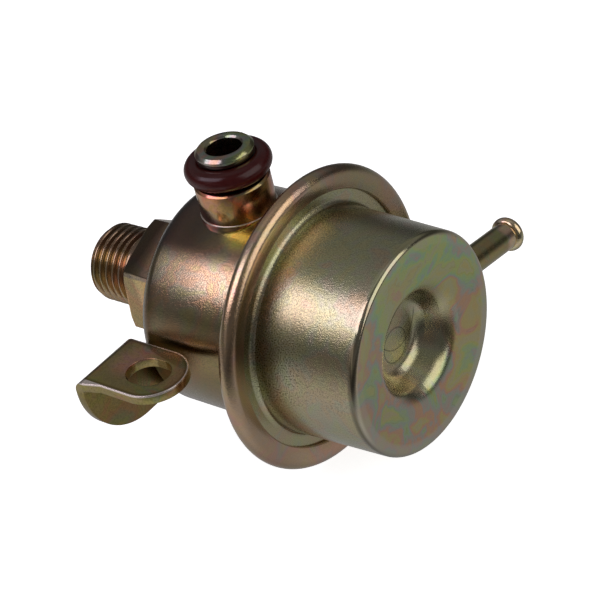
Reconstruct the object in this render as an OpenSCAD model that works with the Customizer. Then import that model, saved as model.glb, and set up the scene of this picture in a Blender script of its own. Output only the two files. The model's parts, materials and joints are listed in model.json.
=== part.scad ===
// Diaphragm fuel pressure regulator: a drawn fuel housing and spring cover joined by a rolled rim,
// with a threaded outlet, a push-in inlet spigot, a vacuum nipple and a folded fixing bracket.
// The main axis lies along X and the inlet points along +Z.
// The origin is the centre of the hexagon's seating face, where the outlet thread starts.

/* [Outlet fitting] */
// Major diameter of the outlet thread
thread_d = 14; // [13:0.5:15]
// Length of the threaded stub
thread_len = 12; // [9:0.5:15]
// Chamfer at the end of the stub
thread_chamfer = 1; // [0.6:0.1:1.4]
// Width of the hexagon across its flats
hex_af = 19; // [18:0.5:20]
// Length of the hexagon
hex_len = 10; // [8:0.5:12]
// Turn of the hexagon about the main axis
hex_turn = 24.5; // [0:0.5:60]
// Radius of the round land on the hexagon's seating face
hex_land_r = 10.1; // [9.5:0.1:10.6]
// Diameter of the fuel passage through the fitting
outlet_bore_d = 7; // [6:0.2:7.4]
// Diameter of the countersunk mouth of the passage
outlet_mouth_d = 10; // [8.5:0.5:11]

/* [Fuel housing] */
// Outer diameter of the drawn housing
housing_d = 38.6; // [38:0.2:39.4]
// Sheet thickness of the housing
housing_t = 1.5; // [1.2:0.1:1.6]
// Length from the rear face to the middle of the rolled rim
housing_len = 23.9; // [23:0.1:26]
// Radius of the housing's rear edge
housing_edge_r = 2.5; // [2:0.1:4]

/* [Rolled rim] */
// Outer diameter of the rolled rim
rim_d = 51.2; // [50.6:0.2:53]
// Thickness of the rolled rim along the axis
rim_t = 3.1; // [3:0.05:3.4]
// Inner diameter of the lip that is rolled over the cover's brim
lip_d = 43.2; // [43:0.1:44]
// Crown radius of the lip's front
lip_crown_r = 7; // [6:0.5:9]
// Thickness of the rim's rear leaf
leaf_t = 1; // [0.9:0.05:1.1]

/* [Spring cover] */
// Outer diameter of the cover at its brim
cover_base_d = 38.4; // [38:0.1:38.6]
// Outer diameter of the cover at its end
cover_end_d = 36.9; // [36.6:0.1:37.4]
// Length from the middle of the rim to the end face
cover_len = 20; // [19.5:0.1:21]
// Sheet thickness of the cover
cover_t = 1.2; // [1:0.1:1.3]
// Radius of the edge round the end face
cover_edge_r = 0.9; // [0.7:0.1:1.2]
// Thickness of the brim under the rolled lip
brim_t = 0.65; // [0.6:0.05:0.7]
// Fillet between the brim and the wall
brim_fillet_r = 1; // [0.8:0.1:1.2]

/* [Adjusting dimple] */
// Depth of the dimple below the end face's outer land
dimple_depth = 6.2; // [5.9:0.1:6.5]
// Diameter of the dimple across the middle of its rolled rim
dimple_d = 22.2; // [21.8:0.1:22.6]
// Fillet round the floor
dimple_fillet_r = 2.4; // [2.1:0.1:2.7]
// Round where the end face rolls into the dimple
dimple_rim_r = 3.2; // [2.9:0.1:3.5]
// Slope of the dimple's side from the axis
dimple_slope = 27; // [25:1:29]
// Width of the flat land round the dished end face
dish_land = 1.1; // [1.1:0.1:1.4]
// Slope of the dished end face towards the dimple
dish_slope = 8; // [7:0.5:9]

/* [Inlet spigot] */
// Distance of the inlet's axis from the hexagon's seating face
inlet_x = 22.8; // [21.5:0.1:24]
// Height of the spigot's top above the main axis
inlet_top_z = 30.6; // [30:0.1:32]
// Diameter of the collar
collar_d = 12.6; // [12:0.1:13]
// Height of the collar's foot above the main axis
collar_foot_z = 19.25; // [19.1:0.05:19.3]
// Height of the collar's shoulder above the main axis
collar_top_z = 24.9; // [24:0.1:25.2]
// Diameter of the head above the seal
inlet_head_d = 9.7; // [9.5:0.1:10.2]
// Diameter of the neck that carries the seal
inlet_neck_d = 7.6; // [7.4:0.1:7.8]
// Diameter of the fuel passage
inlet_bore_d = 5.8; // [5:0.1:6]
// Diameter of the stub that passes through the housing's wall
inlet_stub_d = 9.2; // [8.4:0.1:9.6]
// Cord diameter of the seal ring
ring_cord_d = 3.5; // [3.4:0.05:3.6]
// Height of the seal ring's middle above the main axis
ring_z = 27.25; // [27.1:0.05:27.4]

/* [Vacuum nipple] */
// Distance of the nipple's axis from the middle of the rim
nipple_offset = 10.6; // [9:0.1:13]
// Angle of the nipple from +Y towards +Z
nipple_angle = -8.7; // [-20:0.1:20]
// Outer diameter of the tube
nipple_d = 4.9; // [4.5:0.1:5.2]
// Inner diameter of the tube
nipple_bore_d = 2.9; // [2.4:0.1:3.2]
// Distance of the tube's end from the main axis
nipple_reach = 40; // [34:0.5:44]
// Diameter of the hose bead
bead_d = 6.3; // [6:0.1:6.6]
// Length of the hose bead
bead_len = 1.9; // [1.6:0.1:2.2]

/* [Bracket] */
// Sheet thickness of the bracket
bracket_t = 1.7; // [1.5:0.1:2]
// Inner radius of the fold
fold_r = 0.5; // [0.3:0.1:0.8]
// Height of the tab's top above the main axis
tab_top_z = 3.7; // [3.4:0.1:4]
// Width of the tab
tab_w = 11.8; // [11:0.2:12.4]
// Distance of the tab's middle line from the main axis
tab_y = 26.5; // [26:0.1:28]
// Distance of the centre of the tab's round end from the seating face
tab_end_x = 21.5; // [20:0.1:23]
// Width of the screw slot
slot_w = 6.4; // [5.4:0.1:6.6]
// Length of the screw slot
slot_len = 8; // [7:0.1:8.4]
// Radius of the eye that is clamped behind the housing
eye_r = 11; // [10.8:0.1:11.6]
// Radius of the leaf's lower corner
leaf_corner_r = 11.6; // [11:0.1:12]
// Distance of that corner's centre from the main axis
leaf_corner_offset = 21.7; // [21.4:0.1:22]
// Height of the arm's upper edge, below the main axis
arm_drop = 0.5; // [0:0.1:1.5]

/* [Valve and diaphragm] */
// Outer diameter of the return tube that carries the valve seat
seat_tube_d = 8; // [7.6:0.1:8.2]
// Inner diameter of the return tube
seat_bore_d = 5.2; // [4.6:0.1:5.6]
// Distance of the valve seat from the seating face
seat_x = 26; // [25:0.1:26.5]
// Gap between the closed valve plate and its seat
seat_gap = 0.1; // [0.08:0.01:0.2]
// Diameter of the valve plate
valve_plate_d = 9.2; // [8.8:0.1:9.6]
// Thickness of the valve plate
valve_plate_t = 1.2; // [1:0.1:1.4]
// Diameter of the ball that the valve plate swivels on
ball_d = 5.5; // [5.2:0.1:5.6]
// Radial clearance of the ball in its socket
ball_clearance = 0.05; // [0.03:0.01:0.08]
// Thickness of the diaphragm
diaphragm_t = 0.45; // [0.4:0.05:0.5]
// Offset of the diaphragm's middle from its rim, towards the fuel
diaphragm_sink = 1.7; // [1.5:0.1:1.9]
// Mean radius of the diaphragm's rolling loop
loop_r = 2.08; // [2:0.02:2.12]

/* [Springs] */
// Wire diameter of the main spring
spring_wire_d = 2.4; // [2:0.1:2.5]
// Mean diameter of the main spring
spring_d = 20.4; // [19.6:0.2:20.6]
// Turns of the main spring
spring_turns = 3.6; // [3.2:0.1:3.6]
// Wire diameter of the ball spring
ball_spring_wire_d = 0.44; // [0.36:0.02:0.48]
// Mean diameter of the ball spring
ball_spring_d = 2.4; // [2.2:0.1:2.6]
// Turns of the ball spring
ball_spring_turns = 3.5; // [2.5:0.5:3.5]

/* [Hidden] */
$fn = 96;
eps = 0.01;
lap = 0.1;
past = 1;
thread_r = thread_d / 2;
outlet_bore_r = outlet_bore_d / 2;
outlet_mouth_r = outlet_mouth_d / 2;
hex_corner_r = hex_af / 2 / cos(30);
hex_chamfer_angle = 30;
pilot_r = 8;
rivet_lip_r = 9;
rivet_lip_t = 0.8;
seat_tube_depth = 4;
// Stations along the main axis
bracket_x = hex_len;
housing_x = bracket_x + bracket_t;
chamber_x = housing_x + housing_t;
rim_x = housing_x + housing_len;
rim_rear_x = rim_x - rim_t / 2;
clamp_x = rim_rear_x + leaf_t;
brim_x = clamp_x + diaphragm_t;
brim_top_x = brim_x + brim_t;
cover_x = rim_x + cover_len;
dimple_x = cover_x - dimple_depth;
nipple_x = rim_x + nipple_offset;
// Housing and rim
housing_r = housing_d / 2;
chamber_r = housing_r - housing_t;
rim_r = rim_d / 2;
nose_r = rim_t / 2;
nose_centre_r = rim_r - nose_r;
lip_r = lip_d / 2;
lip_edge_r = 0.35;
lip_tip_r = lip_r + lip_edge_r;
lip_crown_x = rim_x + nose_r - lip_crown_r;
lip_tip_x = lip_crown_x + sqrt(pow(lip_crown_r - lip_edge_r, 2) - pow(nose_centre_r - lip_tip_r, 2));
brim_gap = 0.2;
brim_r = nose_centre_r - brim_gap;
rear_fillet_r = 1.5;
leaf_bend_r = 2.5;
// Cover
cover_base_r = cover_base_d / 2;
cover_end_r = cover_end_d / 2;
cover_inner_edge_r = 0.4;
dish_r = cover_end_r - cover_edge_r - dish_land;
dimple_round_r = dimple_d / 2;
dimple_round_x = cover_x - (dish_r - dimple_round_r) * tan(dish_slope) - dimple_rim_r / cos(dish_slope);
dimple_fillet_x = dimple_x + dimple_fillet_r;
dimple_side_h = dimple_round_x - dimple_fillet_x + (dimple_rim_r + dimple_fillet_r) * sin(dimple_slope);
dimple_side_w = dimple_side_h * tan(dimple_slope);
dimple_floor_r = dimple_round_r - (dimple_rim_r + dimple_fillet_r) * cos(dimple_slope) - dimple_side_w;
// Inlet spigot
collar_r = collar_d / 2;
inlet_head_r = inlet_head_d / 2;
inlet_neck_r = inlet_neck_d / 2;
inlet_bore_r = inlet_bore_d / 2;
inlet_stub_r = inlet_stub_d / 2;
inlet_stub_proud = 0.8;
inlet_stub_z = chamber_r - inlet_stub_proud;
ring_gap = 0.1;
head_under_z = ring_z + ring_cord_d / 2 + ring_gap;
head_chamfer = 0.5;
collar_chamfer = 0.35;
braze_h = 1.4;
braze_w = 0.4;
braze_step = 0.15;
bore_chamfer = 0.3;
ring_squeeze = 0.05;
ring_mean_r = inlet_neck_r + ring_cord_d / 2 - ring_squeeze;
// Vacuum nipple
nipple_r = nipple_d / 2;
nipple_root = 17;
bead_edge_r = bead_len / 2;
// Bracket
tab_r = tab_w / 2;
tab_near_y = -tab_y - tab_r;
tab_far_y = -tab_y + tab_r;
fold_outer_r = fold_r + bracket_t;
fold_x = housing_x + fold_r;
fold_z = tab_top_z - fold_outer_r;
tab_shoulder = 3;
tab_shoulder_x = fold_x + tab_shoulder;
slot_r = slot_w / 2;
slot_half = slot_len / 2 - slot_r;
slot_x = tab_end_x - slot_half;
leaf_corner_y = -leaf_corner_offset;
leaf_corner_z = leaf_corner_r - eye_r;
fold_near_y = leaf_corner_y - sqrt(pow(leaf_corner_r, 2) - pow(fold_z - leaf_corner_z, 2));
relief_r = 3;
// Diaphragm stack, from the valve plate to the cover
plate_x = seat_x + seat_gap;
plate_top_x = plate_x + valve_plate_t;
ball_r = ball_d / 2;
ball_flat_depth = 0.65;
ball_x = plate_top_x + ball_r - ball_flat_depth;
socket_r = ball_r + ball_clearance;
retainer_gap = 0.6;
retainer_x = plate_top_x + retainer_gap;
retainer_t = 1;
retainer_r = 4.2;
holder_r = 5.2;
holder_lip_t = 0.4;
holder_lip_x = retainer_x - holder_lip_t;
holder_lip_r = 3.4;
disc_x = clamp_x - diaphragm_sink;
support_t = 0.8;
support_x = disc_x - support_t;
support_r = 13.2;
spring_plate_x = disc_x + diaphragm_t;
spring_plate_t = 1;
spring_plate_r = 12.9;
spring_plate_rim = 1.6;
spring_base_x = spring_plate_x + spring_plate_t;
stem_r = 3;
rivet_head_r = 4.6;
rivet_head_t = 1;
ball_top_h = 0.15;
socket_top_x = ball_x + ball_r - ball_top_h;
pocket_r = 1.7;
pocket_rise = 1.8;
pocket_top_x = support_x + pocket_rise;
loop_centre_r = 16.2;
// Springs
spring_seat_t = 1;
spring_seat_r = 12.9;
spring_seat_rim = 1.5;
spring_seat_top_x = dimple_x - cover_t;
spring_top_x = spring_seat_top_x - spring_seat_t;
spring_flat = 0.35;
spring_steps = 18;
spring_sides = 12;
ball_spring_flat = 0.3;
ball_spring_steps = 12;
ball_spring_sides = 8;
ball_spring_gap = 0.12;
ball_spring_x = ball_x + sqrt(pow(ball_r, 2) - pow(ball_spring_d / 2, 2)) + ball_spring_gap;
// Colours
zinc = "#8d8258";
zinc_light = "#a49a72";
zinc_dark = "#6b5a3c";
spring_steel = "#55585c";

// A solid turned about the main axis, from a profile of radius against distance along X
module turned() {
    rotate([0, 90, 0])
        rotate_extrude()
            children();
}

// A plain ring section between two radii and two stations
module ring_section(r_in, r_out, x_from, x_to) {
    translate([r_in, x_from])
        square([r_out - r_in, x_to - x_from]);
}

// The concave fillet in a corner at [r, x], growing outwards in r and along x by the signs given
module corner_fillet(r, x, radius, r_sign, x_sign) {
    difference() {
        translate([r_sign > 0 ? r : r - radius, x_sign > 0 ? x : x - radius])
            square(radius);
        translate([r + r_sign * radius, x + x_sign * radius])
            circle(radius);
    }
}

// A filled drawn cup with a slight draft and a rounded edge at its far end
module cup_section(base_r, end_r, x_from, x_to, edge_r) {
    polygon([
        [0, x_from], [base_r, x_from], [end_r, x_to - edge_r],
        [end_r - edge_r, x_to], [0, x_to]
    ]);
    translate([end_r - edge_r, x_to - edge_r])
        circle(edge_r);
}

// The hollow of the dimple and the dished face, shifted inwards by the sheet's thickness for its underside
module dimple_section(shift) {
    fillet_r = dimple_fillet_r + shift;
    rim_round = dimple_rim_r - shift;
    side_from_x = dimple_fillet_x - fillet_r * sin(dimple_slope);
    side_from_r = dimple_floor_r + fillet_r * cos(dimple_slope);
    side_to_x = dimple_round_x + rim_round * sin(dimple_slope);
    side_to_r = dimple_round_r - rim_round * cos(dimple_slope);
    dish_from_r = dimple_round_r - rim_round * sin(dish_slope);
    dish_from_x = dimple_round_x + rim_round * cos(dish_slope);
    dish_to_r = dish_r + shift * tan(dish_slope / 2);
    ring_section(0, dimple_floor_r, dimple_fillet_x - fillet_r, cover_x);
    translate([dimple_floor_r, dimple_fillet_x])
        circle(fillet_r);
    difference() {
        polygon([
            [0, side_from_x], [side_from_r, side_from_x], [side_to_r, side_to_x],
            [dimple_round_r, side_to_x], [dish_from_r, dish_from_x], [dish_to_r, cover_x - shift],
            [dish_to_r, cover_x + past], [0, cover_x + past]
        ]);
        translate([dimple_round_r, dimple_round_x])
            circle(rim_round);
    }
}

// A point of a coil's centre line, with flat end turns
function coil_rise(t, turns, flat, rise) =
    rise * max(0, min(1, (t - flat) / (turns - 2 * flat)));

// A closed coil spring that starts at the origin and climbs along Z
module coil(mean_r, wire_r, turns, flat, rise, steps, sides) {
    count = ceil(turns * steps);
    slope = rise / (turns - 2 * flat) / (2 * PI * mean_r);
    tilt = atan(slope);
    points = [
        for (i = [0 : count], j = [0 : sides - 1])
            let (t = turns * i / count, a = 360 * t, b = 360 * j / sides)
            let (lean = (t > flat && t < turns - flat) ? tilt : 0)
            let (out = mean_r + wire_r * cos(b), side = wire_r * sin(b) * sin(lean))
            [
                out * cos(a) + side * sin(a),
                out * sin(a) - side * cos(a),
                coil_rise(t, turns, flat, rise) + wire_r * sin(b) * cos(lean)
            ]
    ];
    walls = [
        for (i = [0 : count - 1], j = [0 : sides - 1])
            let (k = (j + 1) % sides)
            [i * sides + j, i * sides + k, (i + 1) * sides + k, (i + 1) * sides + j]
    ];
    first = [for (j = [sides - 1 : -1 : 0]) j];
    last = [for (j = [0 : sides - 1]) count * sides + j];
    polyhedron(points, concat(walls, [first, last]));
}

module rim_section() {
    translate([nose_centre_r, rim_x])
        circle(nose_r);
    ring_section(chamber_r, nose_centre_r, rim_rear_x, rim_x);
    intersection() {
        ring_section(lip_tip_r, nose_centre_r, rim_x, rim_x + nose_r);
        translate([nose_centre_r, lip_crown_x])
            circle(lip_crown_r);
    }
    translate([lip_tip_r, lip_tip_x])
        circle(lip_edge_r);
    corner_fillet(housing_r, rim_rear_x, rear_fillet_r, 1, -1);
}

module housing_wall_section() {
    difference() {
        union() {
            ring_section(0, housing_r, housing_x + housing_edge_r, rim_x);
            ring_section(0, housing_r - housing_edge_r, housing_x, rim_x);
            translate([housing_r - housing_edge_r, housing_x + housing_edge_r])
                circle(housing_edge_r);
        }
        ring_section(0, chamber_r - (housing_edge_r - housing_t), chamber_x, rim_x + past);
        ring_section(0, chamber_r, housing_x + housing_edge_r, rim_x + past);
        translate([chamber_r - (housing_edge_r - housing_t), housing_x + housing_edge_r])
            circle(housing_edge_r - housing_t);
        ring_section(0, pilot_r, housing_x - past, chamber_x + past);
    }
}

module fuel_housing() {
    color(zinc)
    difference() {
        turned() {
            difference() {
                union() {
                    housing_wall_section();
                    rim_section();
                }
                ring_section(0, brim_r, clamp_x, brim_top_x);
                ring_section(0, lip_r, clamp_x, rim_x + rim_t);
                corner_fillet(chamber_r, clamp_x, leaf_bend_r, 1, -1);
            }
        }
        translate([inlet_x, 0, 0])
            cylinder(r = inlet_stub_r, h = housing_d);
    }
}

module cover_section() {
    difference() {
        union() {
            cup_section(cover_base_r, cover_end_r, brim_x, cover_x, cover_edge_r);
            ring_section(0, brim_r, brim_x, brim_top_x);
            corner_fillet(cover_base_r - lap, brim_top_x - eps, brim_fillet_r, 1, 1);
        }
        dimple_section(0);
        difference() {
            union() {
                cup_section(
                    cover_base_r - cover_t, cover_end_r - cover_t,
                    brim_x - past, cover_x - cover_t, cover_inner_edge_r
                );
                corner_fillet(cover_base_r - cover_t - lap, brim_x - eps, brim_fillet_r + cover_t, 1, 1);
            }
            dimple_section(cover_t);
        }
    }
}

module nipple_frame() {
    translate([nipple_x, 0, 0])
        rotate([nipple_angle - 90, 0, 0])
            children();
}

module spring_cover() {
    color(zinc_light)
    difference() {
        turned()
            cover_section();
        nipple_frame()
            cylinder(r = nipple_r, h = cover_base_d);
    }
}

module vacuum_nipple() {
    color(zinc)
    nipple_frame()
        rotate_extrude() {
            ring_section(nipple_bore_d / 2, nipple_r, nipple_root, nipple_reach - bead_len / 4);
            translate([bead_d / 2 - bead_edge_r, nipple_reach - bead_edge_r])
                difference() {
                    circle(bead_edge_r);
                    translate([nipple_bore_d / 2 - bead_d / 2 + bead_edge_r - bead_len, -bead_len])
                        square([bead_len, 2 * bead_len]);
                }
        }
}

module hexagon() {
    intersection() {
        rotate([0, 90, 0])
            rotate([0, 0, 90 + hex_turn])
                cylinder(r = hex_corner_r, h = hex_len, $fn = 6);
        turned()
            polygon([
                [0, 0], [hex_land_r, 0],
                [hex_corner_r + past, (hex_corner_r + past - hex_land_r) * tan(hex_chamfer_angle)],
                [hex_corner_r + past, hex_len], [0, hex_len]
            ]);
    }
}

module outlet_fitting() {
    color(zinc_dark)
    difference() {
        union() {
            hexagon();
            turned() {
                polygon([
                    [0, -thread_len], [thread_r - thread_chamfer, -thread_len],
                    [thread_r, thread_chamfer - thread_len], [thread_r, past], [0, past]
                ]);
                ring_section(0, pilot_r, hex_len - past, chamber_x);
                ring_section(0, rivet_lip_r, chamber_x, chamber_x + rivet_lip_t);
            }
        }
        turned() {
            ring_section(0, outlet_bore_r, -thread_len - past, chamber_x + past);
            polygon([
                [0, -thread_len - eps], [outlet_mouth_r, -thread_len - eps],
                [outlet_bore_r, outlet_mouth_r - outlet_bore_r - thread_len], [0, past]
            ]);
            ring_section(0, seat_tube_d / 2, chamber_x - seat_tube_depth, chamber_x + past);
        }
    }
}

module leaf_outline() {
    circle(eye_r);
    translate([leaf_corner_y, -eye_r])
        square([-leaf_corner_y, eye_r - arm_drop]);
    intersection() {
        translate([leaf_corner_y, leaf_corner_z])
            circle(leaf_corner_r);
        union() {
            translate([leaf_corner_y - leaf_corner_r, -eye_r])
                square([tab_far_y - leaf_corner_y + leaf_corner_r, eye_r + fold_z]);
            translate([leaf_corner_y, -eye_r])
                square([leaf_corner_r, eye_r - arm_drop]);
        }
    }
    difference() {
        translate([tab_far_y - eps, -arm_drop - eps])
            square([relief_r, fold_z + arm_drop + eps]);
        translate([tab_far_y + relief_r, relief_r - arm_drop])
            circle(relief_r);
    }
}

module tab_outline() {
    difference() {
        union() {
            polygon([
                [fold_x, tab_far_y], [tab_end_x, tab_far_y], [tab_end_x, tab_near_y],
                [tab_shoulder_x, tab_near_y], [fold_x, fold_near_y]
            ]);
            translate([tab_end_x, -tab_y])
                circle(tab_r);
        }
        for (end = [-1, 1])
            translate([slot_x + end * slot_half, -tab_y])
                circle(slot_r);
        translate([slot_x - slot_half, -tab_y - slot_r])
            square([2 * slot_half, slot_w]);
    }
}

module bracket() {
    color(zinc)
    union() {
        difference() {
            translate([bracket_x, 0, 0])
                rotate([90, 0, 90])
                    linear_extrude(bracket_t)
                        leaf_outline();
            rotate([0, 90, 0])
                cylinder(r = pilot_r, h = housing_x + past);
        }
        translate([fold_x, tab_far_y, fold_z])
            rotate([90, 0, 0])
                linear_extrude(tab_far_y - fold_near_y)
                    intersection() {
                        difference() {
                            circle(fold_outer_r);
                            circle(fold_r);
                        }
                        translate([-fold_outer_r, 0])
                            square(fold_outer_r);
                    }
        translate([0, 0, tab_top_z - bracket_t])
            linear_extrude(bracket_t)
                tab_outline();
    }
}

module inlet_spigot() {
    color(zinc)
    difference() {
        union() {
            difference() {
                translate([inlet_x, 0, 0])
                    rotate_extrude()
                        polygon([
                            [0, 0], [collar_r + braze_w, 0],
                            [collar_r + braze_w, collar_foot_z - braze_h],
                            [collar_r - braze_step, collar_foot_z], [collar_r, collar_foot_z],
                            [collar_r, collar_top_z - collar_chamfer],
                            [collar_r - collar_chamfer, collar_top_z], [inlet_neck_r, collar_top_z],
                            [inlet_neck_r, head_under_z], [inlet_head_r, head_under_z],
                            [inlet_head_r, inlet_top_z - head_chamfer],
                            [inlet_head_r - head_chamfer, inlet_top_z], [0, inlet_top_z]
                        ]);
                rotate([0, 90, 0])
                    cylinder(r = housing_r, h = cover_x);
            }
            translate([inlet_x, 0, inlet_stub_z])
                cylinder(r = inlet_stub_r, h = collar_top_z - inlet_stub_z);
        }
        translate([inlet_x, 0, 0])
            rotate_extrude() {
                ring_section(0, inlet_bore_r, 0, inlet_top_z + past);
                polygon([
                    [0, inlet_top_z - bore_chamfer], [inlet_bore_r, inlet_top_z - bore_chamfer],
                    [inlet_bore_r + bore_chamfer + eps, inlet_top_z + eps], [0, inlet_top_z + eps]
                ]);
            }
    }
}

module inlet_o_ring() {
    color("#3b1a1c")
    translate([inlet_x, 0, ring_z])
        rotate_extrude()
            translate([ring_mean_r, 0])
                circle(ring_cord_d / 2);
}

module seat_tube() {
    color("#b8a56a")
    turned()
        ring_section(seat_bore_d / 2, seat_tube_d / 2, chamber_x - seat_tube_depth, seat_x);
}

module diaphragm() {
    color("#2c2a28")
    turned() {
        ring_section(stem_r, loop_centre_r - loop_r + diaphragm_t / 2, disc_x, spring_plate_x);
        ring_section(
            loop_centre_r - loop_r - diaphragm_t / 2, loop_centre_r - loop_r + diaphragm_t / 2,
            disc_x, clamp_x
        );
        intersection() {
            translate([loop_centre_r, clamp_x])
                difference() {
                    circle(loop_r + diaphragm_t / 2);
                    circle(loop_r - diaphragm_t / 2);
                }
            ring_section(0, rim_r, clamp_x, rim_x + rim_t);
        }
        ring_section(loop_centre_r + loop_r - diaphragm_t / 2, brim_r, clamp_x, brim_x);
    }
}

module main_spring() {
    wire_r = spring_wire_d / 2;
    color(spring_steel)
    translate([spring_base_x + wire_r, 0, 0])
        rotate([0, 90, 0])
            coil(
                spring_d / 2, wire_r, spring_turns, spring_flat,
                spring_top_x - spring_base_x - spring_wire_d, spring_steps, spring_sides
            );
}

module spring_seat() {
    color(zinc)
    turned() {
        ring_section(0, spring_seat_r, spring_top_x, spring_seat_top_x);
        ring_section(
            spring_seat_r - spring_seat_t, spring_seat_r, spring_top_x - spring_seat_rim, spring_seat_top_x
        );
    }
}

module spring_plate() {
    color(zinc)
    turned() {
        ring_section(stem_r, spring_plate_r, spring_plate_x, spring_base_x);
        ring_section(
            spring_plate_r - spring_plate_t, spring_plate_r, spring_plate_x, spring_base_x + spring_plate_rim
        );
    }
}

module support_washer() {
    color(zinc_light)
    turned()
        ring_section(stem_r, support_r, support_x, disc_x);
}

module valve_holder() {
    color("#9a9da0")
    turned()
        difference() {
            union() {
                ring_section(0, holder_r, holder_lip_x, support_x);
                ring_section(0, stem_r, support_x, spring_base_x);
                ring_section(0, rivet_head_r, spring_base_x, spring_base_x + rivet_head_t);
            }
            ring_section(0, holder_lip_r, holder_lip_x - past, retainer_x);
            ring_section(0, retainer_r, retainer_x, retainer_x + retainer_t);
            ring_section(0, socket_r, retainer_x, socket_top_x);
            ring_section(0, pocket_r, socket_top_x, pocket_top_x);
        }
}

module ball_spring() {
    wire_r = ball_spring_wire_d / 2;
    color(spring_steel)
    translate([ball_spring_x + wire_r, 0, 0])
        rotate([0, 90, 0])
            coil(
                ball_spring_d / 2, wire_r, ball_spring_turns, ball_spring_flat,
                pocket_top_x - ball_spring_x - ball_spring_wire_d, ball_spring_steps, ball_spring_sides
            );
}

module ball_retainer() {
    color("#b8a56a")
    difference() {
        turned()
            ring_section(0, retainer_r, retainer_x, retainer_x + retainer_t);
        translate([ball_x, 0, 0])
            sphere(socket_r);
    }
}

module valve_ball() {
    color("silver")
    turned()
        intersection() {
            translate([0, ball_x])
                circle(ball_r);
            ring_section(0, ball_d, plate_top_x, ball_x + ball_d);
        }
}

module valve_plate() {
    color("silver")
    turned()
        ring_section(0, valve_plate_d / 2, plate_x, plate_top_x);
}

fuel_housing();
spring_cover();
bracket();
outlet_fitting();
inlet_spigot();
inlet_o_ring();
vacuum_nipple();
seat_tube();
diaphragm();
main_spring();
spring_seat();
spring_plate();
support_washer();
valve_holder();
ball_spring();
ball_retainer();
valve_ball();
valve_plate();
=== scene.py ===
import json
from math import cos, hypot, pi, radians, sin, sqrt, tan

import bmesh
import bpy
from mathutils import Matrix, Quaternion, Vector


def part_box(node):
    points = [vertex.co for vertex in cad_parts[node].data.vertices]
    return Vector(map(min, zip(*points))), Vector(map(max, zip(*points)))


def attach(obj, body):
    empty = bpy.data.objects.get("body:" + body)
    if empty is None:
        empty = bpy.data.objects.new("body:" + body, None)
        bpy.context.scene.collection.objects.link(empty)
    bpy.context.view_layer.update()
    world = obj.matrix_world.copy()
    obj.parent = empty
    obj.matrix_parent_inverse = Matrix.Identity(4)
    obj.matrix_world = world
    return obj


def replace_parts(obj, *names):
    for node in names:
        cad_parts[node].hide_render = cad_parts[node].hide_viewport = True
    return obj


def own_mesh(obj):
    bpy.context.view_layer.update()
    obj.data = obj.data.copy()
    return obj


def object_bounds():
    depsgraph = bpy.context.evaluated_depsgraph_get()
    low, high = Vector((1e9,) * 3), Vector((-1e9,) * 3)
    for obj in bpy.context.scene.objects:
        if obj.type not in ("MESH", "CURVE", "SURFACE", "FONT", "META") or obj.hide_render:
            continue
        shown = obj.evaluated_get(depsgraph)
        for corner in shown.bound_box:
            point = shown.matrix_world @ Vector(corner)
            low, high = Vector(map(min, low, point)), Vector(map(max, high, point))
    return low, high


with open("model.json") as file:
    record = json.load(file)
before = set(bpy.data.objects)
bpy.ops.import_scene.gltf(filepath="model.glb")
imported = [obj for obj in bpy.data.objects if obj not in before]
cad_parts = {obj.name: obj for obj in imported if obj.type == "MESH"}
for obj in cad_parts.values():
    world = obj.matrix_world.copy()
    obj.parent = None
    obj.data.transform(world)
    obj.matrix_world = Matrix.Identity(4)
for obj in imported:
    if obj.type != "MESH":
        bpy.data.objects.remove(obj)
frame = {"nodes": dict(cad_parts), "record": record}
cad_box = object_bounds()

# Units and shared values
MM = 0.001
MERGE = 0.002 * MM
TOUCH = 0.01 * MM
BODY = "regulator_body"
X_AXIS = Vector((1, 0, 0))
Z_AXIS = Vector((0, 0, 1))
mounts = {mount["name"]: mount for mount in frame["record"]["mounts"]}
nodes = frame["nodes"]

# Camera, in millimetres and degrees
CAMERA_PLACE = (204.98, -174.22, 167.89)
CAMERA_TARGET = (31.12, 0, 2.40)
CAMERA_ROLL = -13.95
CAMERA_LENS = 108.25
SENSOR = 36

# Studio light: azimuth from +X towards +Y, elevation, width, height and turn in degrees,
# brightness and colour
LIGHT_REACH = 0.5
SOFTBOXES = {
    "key_softbox": (-117, 47, 46, 28, 22, 2.35, (1.0, 0.88, 1.04)),
    "side_softbox": (13, 30, 52, 48, 0, 1.25, (1.0, 0.97, 0.94)),
}

# Room: its glow from straight down to straight up, and directions in which it changes
ROOM_GLOW = [
    (0.00, 0.26), (0.15, 0.38), (0.27, 0.44), (0.36, 0.41), (0.48, 0.15),
    (0.55, 0.06), (0.64, 0.08), (0.74, 0.26), (0.92, 0.21), (1.00, 0.40),
]
ROOM_AHEAD = (0.7, -0.7, 0.0)
ROOM_NEARER = (0.0, -1.0, 0.0)
CAMERA_SIDE = (0.59, -0.59, 0.56)
FLOOR_SIZE = 3
FLOOR_GLOW = 0.85

# Outlet thread, in millimetres
THREAD_R = mounts["outlet_thread"]["dims"]["r_mm"]
THREAD_PITCH = 1.5
THREAD_DEPTH = 0.92
THREAD_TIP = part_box("outlet_fitting")[0].x / MM
THREAD_CHAMFER = 1.0
THREAD_RUN_OUT = 2.6
THREAD_FADE = 1.2
THREAD_NECK_R = 6.92
THREAD_SAMPLES = 14
THREAD_STEPS = 120
THREAD_TRIM = 0.04
CREST_SHARE = 0.14
ROOT_SHARE = 0.24
CREST_X = -7.59

# Broken edges, in millimetres
HEX_EDGE = 0.22
HEX_EDGE_LENGTH = 3
BRACKET_EDGE = 0.2
SPIGOT_EDGE = 0.1

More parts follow.
